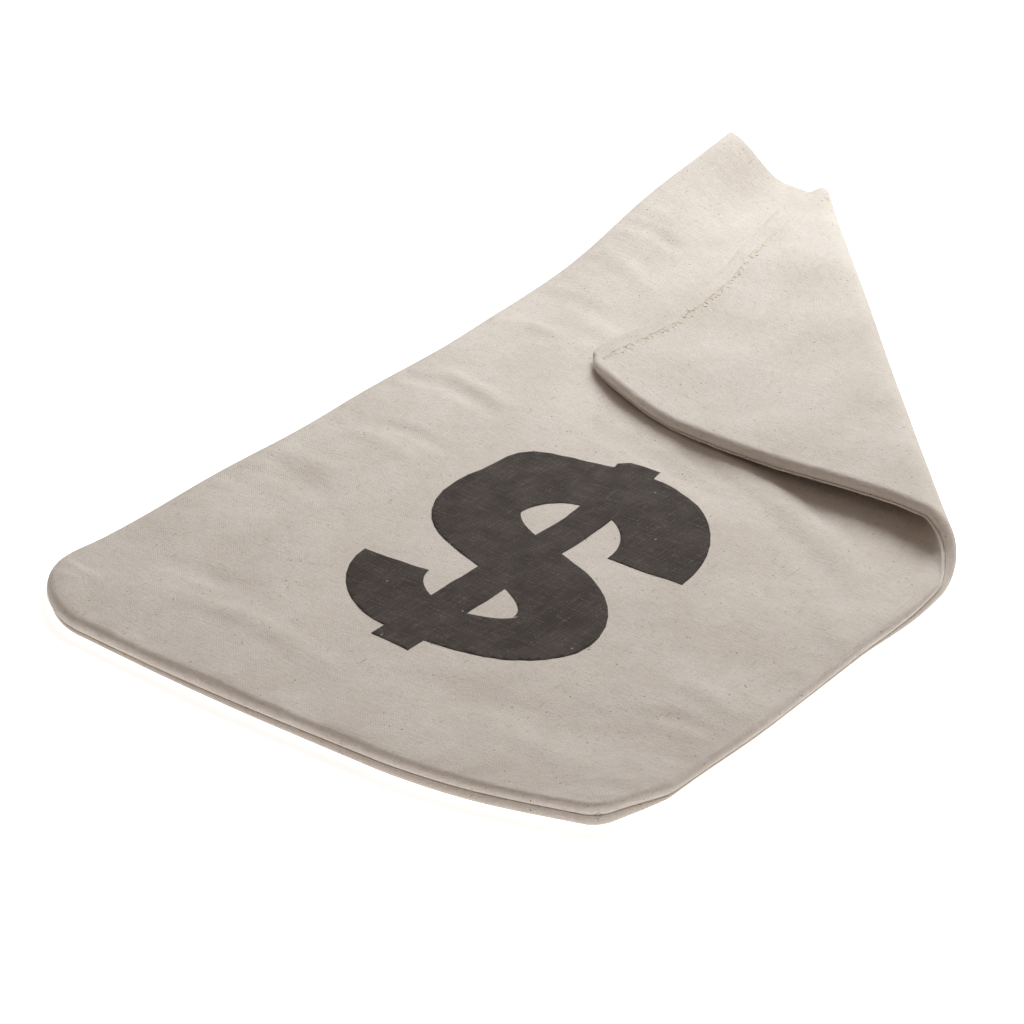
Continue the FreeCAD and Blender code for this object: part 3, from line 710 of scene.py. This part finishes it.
def print_material():
    """Worn pigment: solid on the crowns of the weave, thin where the threads dip or slub."""
    paint = Paint("worn_pigment", Roughness=0.85, Sheen_Weight=0.05, Specular_IOR_Level=0.15)
    over, uneven_warp, uneven_weft = weave(paint)
    patch = paint.noise(paint.flat((60, 60)), 3.0, 0.6)
    grain = paint.noise(paint.flat((900, 900)), 3.0, 0.75)
    body = paint.mix(patch.to(0.3, 0.7), rgb(64, 58, 54), rgb(77, 70, 66))
    lifted = (uneven_warp.to(0.5, 0.75) + uneven_weft.to(0.5, 0.75)) * grain.to(0.4, 0.62)
    worn = paint.mix(lifted * 0.3, body, rgb(140, 130, 121))
    gone = specks(paint, across=330, along=230, turn=0.4, size=0.17, share=0.007)
    bare = paint.mix(gone * 0.6, worn, rgb(196, 187, 176))
    relief = over * 0.4 + uneven_warp * 0.6 + uneven_weft * 0.6 + grain * 0.8
    bumpy = paint.relief(relief, 0.14 * MM)
    return paint.wire(Base_Color=bare, Normal=bumpy, Roughness=grain.to(0.2, 0.8, 0.78, 0.92))


def thread_material():
    paint = Paint("cream_cotton_thread", Roughness=0.8, Sheen_Weight=0.3, Sheen_Roughness=0.4)
    twist = paint.noise(paint.flat((2600, 2600)), 2.0, 0.6)
    body = paint.mix(twist.to(0.3, 0.7), rgb(222, 208, 176), rgb(240, 230, 206))
    return paint.wire(Base_Color=body, Normal=paint.relief(twist, 0.08 * MM),
                      Roughness=twist.to(0.2, 0.8, 0.7, 0.88))


canvas = canvas_material("unbleached_canvas", rgb(236, 229, 221), rgb(212, 202, 193))
hem_canvas = canvas_material("hem_canvas", rgb(232, 222, 204), rgb(214, 200, 176), fuzz=0.4)
seam_canvas = canvas_material("seam_allowance_canvas", rgb(230, 220, 206), rgb(210, 197, 180),
                              fuzz=0.2)
pigment = print_material()
thread = thread_material()


# ---------------------------------------------------------------- the two panels

columns = graded(-cut_half_width, cut_half_width, True, True)
panel_rows = np.concatenate((graded(cut_bottom, HALF_LENGTH, True, False),
                             HALF_LENGTH + HEM_TURN * np.linspace(0, math.pi, 7)[1:]))
panel_flat = (2 * cut_half_width, HALF_LENGTH - cut_bottom + math.pi * HEM_TURN)

# Where cloth starts to turn with the roll and where it turns all the way, by distance past the
# fold line.  The front panel is the inner ply, so its part of the roll is narrower.
turn_direction = fold_out + roll_taper * fold_along
TURN_SPAN = {"back": (0.5 * MM, 6.6 * MM), "front": (-2.4 * MM, 3.2 * MM)}

# The two sides of the cut along the roll, with the ending of their nodes' names, and which of them
# each seam is on.
SIDES = {"bag": "", "corner": "_corner"}
SEAM_SIDES = (("left", "bag"), ("right", "bag"), ("bottom", "bag"), ("right", "corner"))


def follow_fold(piece, side, panel):
    span = TURN_SPAN[panel] if side == "bag" else TURN_SPAN[panel][::-1]
    ends = [(*(FOLD_START + turn_direction * reach), 0.0) for reach in span]
    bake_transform(piece)


def finish_piece(piece, material, nodes, side, panel):
    piece.data.materials.append(material)
    follow_fold(piece, side, panel)
    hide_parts(*nodes)


def make_cloth(name, side, panel, net, material, nodes, thickness=CLOTH, offset=-1.0):
    """A ply of cloth on one side of the fold; returns the piece and its flat area."""
    piece = flat_grid(name, *net)
    keep_side(piece, side)
    area = flat_area(piece)
    apply_modifier(piece, "SOLIDIFY", thickness=thickness, offset=offset)
    lay_piece(piece, panel)
    finish_piece(piece, material, nodes, side, panel)
    return piece, area


panel_net = (columns, panel_rows, 0.0)
panels = {}
for panel in ("front", "back"):
    for side, nodes in (("bag", [panel + "_panel"]),
                        ("corner", [panel + "_panel_corner", panel + "_panel_bend"])):
        name = f"{panel}_canvas_{side}"
        panels[panel, side] = make_cloth(name, side, panel, panel_net, canvas, nodes)


# ---------------------------------------------------------------- mouth hems

hem_rows = np.linspace(HALF_LENGTH - HEM_WIDTH, HALF_LENGTH, 6)
hem_columns = graded(-cut_half_width + EDGE_CLOTH, cut_half_width - EDGE_CLOTH, False, False)
hem_net = (hem_columns, hem_rows, -2 * HEM_TURN)
hems = {}
for panel in ("front", "back"):
    for side, ending in SIDES.items():
        hems[panel, side] = make_cloth(f"{panel}_hem_{side}", side, panel, hem_net, hem_canvas,
                                       [f"{panel}_mouth_hem{ending}"], offset=1.0)


# ---------------------------------------------------------------- seam allowances

def allowance_net(seam):
    """Two margins of cloth turned inside along a seam, drawn over the back panel."""
    start = ALLOWANCE_INSET
    band = np.linspace(start, start + ALLOWANCE_WIDTH, 6)
    end_gap = 36 * MM
    length = np.arange(cut_bottom + end_gap, HALF_LENGTH - HEM_WIDTH - MM, MESH_STEP)
    if seam == "left":
        return band - cut_half_width, length
    if seam == "right":
        return cut_half_width - band[::-1], length
    return np.arange(end_gap - HALF_WIDTH, HALF_WIDTH - end_gap, MESH_STEP), cut_bottom + band


allowances = {}
inner_height = -CLOTH - 0.05 * MM
for seam, side in SEAM_SIDES:
    ending = SIDES[side]
    allowances[seam, side] = make_cloth(
        f"{seam}_seam_allowance_cloth{ending}", side, "back", (*allowance_net(seam), inner_height),
        seam_canvas, [f"{seam}_seam_allowance{ending}"], thickness=2 * CLOTH)


# ---------------------------------------------------------------- stitches

OVERLOCK_STEP = 1.7 * MM
LOCK_STEP = 4 * MM


def model_stitch(length, width, rise):
    """One stitch: a short thread that comes up out of the cloth and goes down again."""
    bpy.ops.mesh.primitive_cylinder_add(vertices=6, radius=width / 2, depth=length,
                                        rotation=(0, math.pi / 2, 0))
    piece = bpy.context.object
    bpy.ops.object.transform_apply(location=True, rotation=True, scale=True)
    bpy.ops.object.mode_set(mode="EDIT")
    for share in (-0.36, -0.18, 0.0, 0.18, 0.36):
        bpy.ops.mesh.select_all(action="SELECT")
        bpy.ops.mesh.bisect(plane_co=(share * length, 0, 0), plane_no=(1, 0, 0), threshold=0.01 * MM)
    bpy.ops.object.mode_set(mode="OBJECT")
    points = mesh_points(piece)
    from_middle = points[:, 0] / (length / 2)
    points[:, 2] += rise * (1 - from_middle ** 4) - width * 0.2
    faces = [tuple(face.vertices) for face in piece.data.polygons]
    bpy.data.objects.remove(piece)
    return points, faces


def stitch_rows(name, places, stitch):
    """Copies of one stitch, each at a flat place and turned its own way, as one flat piece."""
    points, faces = stitch
    all_points, all_faces = [], []
    for x, y, angle, stretch, height in places:
        turn = np.array(((math.cos(angle), math.sin(angle)), (-math.sin(angle), math.cos(angle))))
        copy = points * (stretch, 1, 1)
        copy[:, :2] = copy[:, :2] @ turn + (x, y)
        copy[:, 2] += height
        first = len(all_points) * len(points)
        all_faces += [tuple(first + index for index in face) for face in faces]
        all_points.append(copy)
    return add_mesh(name, np.concatenate(all_points), all_faces)


def on_side(places, side):
    beyond = past_half_turn(np.array(places))
    return [place for place, past in zip(places, beyond) if (past > 0) == (side == "corner")]


def overlock_places(seed, shown_to):
    """A ragged zigzag at the hem's raw edge: it sinks left of shown_to, and one in five is buried."""
    draw = np.random.default_rng(seed)
    places = []
    edge = HALF_LENGTH - HEM_WIDTH
    end = HALF_WIDTH - 8 * MM
    for count, x in enumerate(np.arange(-end, end, OVERLOCK_STEP)):
        lean = math.radians(62 if count % 2 else 118) + draw.normal(0, 0.35)
        sunk = (0.14 + 0.16 * draw.random()) * MM * smooth(x, shown_to, shown_to - 60 * MM)
        sunk = sunk if draw.random() < 0.8 else 0.3 * MM
        places.append((x + draw.normal(0, 0.5 * MM), edge + draw.normal(0, 1.3 * MM), lean,
                       draw.uniform(0.5, 1.2), -sunk))
        places.append((x, edge + 2.1 * MM + draw.normal(0, 0.35 * MM), draw.normal(0, 0.25),
                       draw.uniform(0.4, 0.75), -sunk))
    return places


def lock_places(seam):
    """An even row down the middle of an allowance."""
    x_lines, y_lines = allowance_net(seam)
    height = inner_height + 0.1 * MM
    if seam == "bottom":
        return [(x, y_lines.mean(), 0.0, 1.0, height)
                for x in np.arange(x_lines[0], x_lines[-1], LOCK_STEP)]
    return [(x_lines.mean(), y, math.pi / 2, 1.0, height)
            for y in np.arange(y_lines[0], y_lines[-1], LOCK_STEP)]


overlock_stitch = model_stitch(length=3.0 * MM, width=0.34 * MM, rise=0.2 * MM)
lock_stitch = model_stitch(length=3.0 * MM, width=0.4 * MM, rise=0.1 * MM)
rows = {}
for panel, seed, shown_to in (("front", 51, 150 * MM), ("back", 52, 20 * MM)):
    for side, ending in SIDES.items():
        row = stitch_rows(f"{panel}_hem_overlock_{side}",
                          on_side(overlock_places(seed, shown_to), side), overlock_stitch)
        rows[panel, side] = [row]
        lay_piece(row, panel)
        finish_piece(row, thread, [f"{panel}_hem_stitches{ending}"], side, panel)
for seam, side in SEAM_SIDES:
    row = stitch_rows(f"{seam}_lock_stitches_{side}", on_side(lock_places(seam), side), lock_stitch)
    rows["back", side].append(row)
    lay_piece(row, "back")
    finish_piece(row, thread, [f"{seam}_seam_stitches{SIDES[side]}"], side, "back")


# ---------------------------------------------------------------- the printed currency sign

# Middle line of the S: place in mm, direction it runs in (degrees) and stroke width in mm.
SIGN_KNOTS = [
    ((46, 12.5), 92, 36),
    ((-2, 61), 178, 38.5),
    ((-43.5, 25), 268, 38.5),
    ((0, -10), 337, 33.5),
    ((43.5, -46), 272, 36),
    ((6, -69.5), 186, 27),
    ((-40, -39.5), 92, 32.5),
]
SHOULDER = ((-46, 66), 30, (-9, 3.5))  # where the S is fuller at its upper left, its reach, the push
ROUND = 0.552                        # a curve's handle that makes a quarter circle, in radii
# The upright bar in mm, corner by corner from its lower left; it leans with the cloth.
BAR = ((-10.5, -90), (10, -92.5), (9.2, -53), (11.2, 20), (10.6, 40), (7, 60), (1, 87), (-14, 86),
       (-18, 82), (-8, 44), (-6.5, 30), (-9, 0), (-10.6, -50))


def sign_outline():
    """Both sides of the S, from a smooth middle line through its knots."""
    left, right = [], []
    shares = np.linspace(0, 1, 13)
    for (start, angle, width), (end, last_angle, last_width) in zip(SIGN_KNOTS, SIGN_KNOTS[1:]):
        span = np.abs(np.array(end) - start)
        handles = [ROUND * span * (math.cos(way), math.sin(way))
                   for way in np.radians((angle, last_angle))]
        controls = np.array((start, start + handles[0], end - handles[1], end), float)
        is_last = end == SIGN_KNOTS[-1][0]
        for share in shares if is_last else shares[:-1]:
            rest = 1 - share
            weights = np.array((rest ** 3, 3 * rest ** 2 * share, 3 * rest * share ** 2, share ** 3))
            slopes = np.array((-rest ** 2, rest ** 2 - 2 * rest * share,
                               2 * rest * share - share ** 2, share ** 2))
            middle, along = weights @ controls, unit(slopes @ controls)
            side = np.array((-along[1], along[0]))
            ease = smooth(share, 0, 1)
            half = (width * (1 - ease) + last_width * ease) / 2
            left.append(middle + side * half)
            right.append(middle - side * half)
    place, reach, push = SHOULDER
    outline = []
    for point in left + right[::-1]:
        near = np.linalg.norm(point - place) / reach
        outline.append(point + np.array(push) * max(1 - near ** 2, 0) ** 2)
    return outline


def tall_shape(name, outline):
    """An outline in mm stood up into a solid, so that two of them can be joined."""
    net = bmesh.new()
    low = [net.verts.new((*(SIGN_CENTRE + np.array(point) * MM), -SIGN_TALL)) for point in outline]
    base = net.faces.new(low)
    raised = bmesh.ops.extrude_face_region(net, geom=[base])["geom"]
    for vertex in raised:
        if isinstance(vertex, bmesh.types.BMVert):
            vertex.co.z = SIGN_TALL
    bmesh.ops.recalc_face_normals(net, faces=net.faces[:])
    mesh = bpy.data.meshes.new(name)
    net.to_mesh(mesh)
    net.free()
    return add_object(name, mesh)


def flatten_to_net(piece):
    """Keeps the top face only, level, cut into squares fine enough to lie on the cloth."""
    net = bmesh.new()
    net.from_mesh(piece.data)
    lower = [vertex for vertex in net.verts if vertex.co.z < SIGN_TALL - MM]
    bmesh.ops.delete(net, geom=lower, context="VERTS")
    for vertex in net.verts:
        vertex.co.z = PRINT_HEIGHT
    bmesh.ops.triangulate(net, faces=net.faces[:])
    for axis in (0, 1):
        normal = (1 - axis, axis, 0)
        values = [vertex.co[axis] for vertex in net.verts]
        for line in np.arange(min(values) + 2 * MM, max(values), MESH_STEP):
            bmesh.ops.bisect_plane(net, geom=net.verts[:] + net.edges[:] + net.faces[:],
                                   plane_co=np.array(normal) * line, plane_no=normal)
    net.to_mesh(piece.data)
    net.free()


sign = tall_shape("currency_sign_print", sign_outline())
bar = tall_shape("sign_bar", BAR)
apply_modifier(sign, "BOOLEAN", operation="UNION", object=bar, solver="EXACT")
bpy.data.objects.remove(bar)
flatten_to_net(sign)
apply_modifier(sign, "SOLIDIFY", thickness=0.08 * MM, offset=-1.0)
lay_piece(sign, "front")
sign.data.materials.append(pigment)
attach(sign, "bag")
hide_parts("currency_print")


# ---------------------------------------------------------------- sheets of cloth

for (panel, side), (piece, area) in panels.items():
    other = panels["back" if panel == "front" else "front", side][0]
    held = "laid" if side == "bag" else "folded"
    rests = [other.name] if panel == "front" or side == "corner" else []
    goes_with = [hems[panel, side][0], *rows[panel, side]]
    if panel == "back":
        goes_with += [cloth for (_, end), (cloth, _) in allowances.items() if end == side]
    elif side == "bag":
        goes_with.append(sign)
    panel_flat if side == "bag" else CORNER_FLAT


# ---------------------------------------------------------------- floor, light and camera

def make_floor():
    bpy.ops.mesh.primitive_plane_add(size=8.0, location=(0, 0, -0.3 * MM))
    floor = bpy.context.object
    floor.name = "studio_floor"
    paint = Paint("pale_floor", Base_Color=(0.96, 0.96, 0.96, 1), Roughness=0.9,
                  Emission_Color=(1, 1, 1, 1), Emission_Strength=0.7)
    floor.data.materials.append(paint.material)


def make_light(name, place, aim, size, power, colour):
    data = bpy.data.lights.new(name, "AREA")
    data.energy, data.size, data.color = power, size, colour
    lamp = add_object(name, data)
    lamp.location = place
    lamp.rotation_euler = (Vector(aim) - Vector(place)).to_track_quat("-Z", "Y").to_euler()


def make_camera():
    azimuth, elevation, distance = math.radians(37.9), math.radians(28.9), 1.262
    aim = Vector((-28.9 * MM, -74.7 * MM, 0.0))
    back = Vector((math.sin(azimuth) * math.cos(elevation),
                   -math.cos(azimuth) * math.cos(elevation), math.sin(elevation)))
    data = bpy.data.cameras.new("camera")
    data.sensor_width, data.lens = 36.0, 105.47
    data.clip_start, data.clip_end = 0.05, 50
    camera = add_object("camera", data)
    camera.location = aim + back * distance
    camera.rotation_euler = (-back).to_track_quat("-Z", "Y").to_euler()
    bpy.context.scene.camera = camera


def make_world(colour, strength):
    world = bpy.data.worlds.new("studio_air")
    world.use_nodes = True
    background = world.node_tree.nodes["Background"]
    background.inputs["Color"].default_value = (*colour, 1)
    background.inputs["Strength"].default_value = strength
    bpy.context.scene.world = world


make_floor()
make_light("key_light", place=(-0.22, 0.6, 0.7), aim=(0, 0.03, 0), size=0.6, power=9.1,
           colour=(0.95, 0.985, 1.0))
make_light("side_light", place=(1.5, 0.7, 1.3), aim=(0, 0, 0), size=1.2, power=4.5,
           colour=(1.0, 0.98, 0.95))
make_light("fill_light", place=(0.5, -1.6, 1.6), aim=(0, 0, 0), size=1.8, power=3.4,
           colour=(1.0, 0.83, 0.72))
make_world(colour=(1.0, 0.84, 0.74), strength=0.18)
bpy.context.scene.view_settings.view_transform = "Standard"
make_camera()
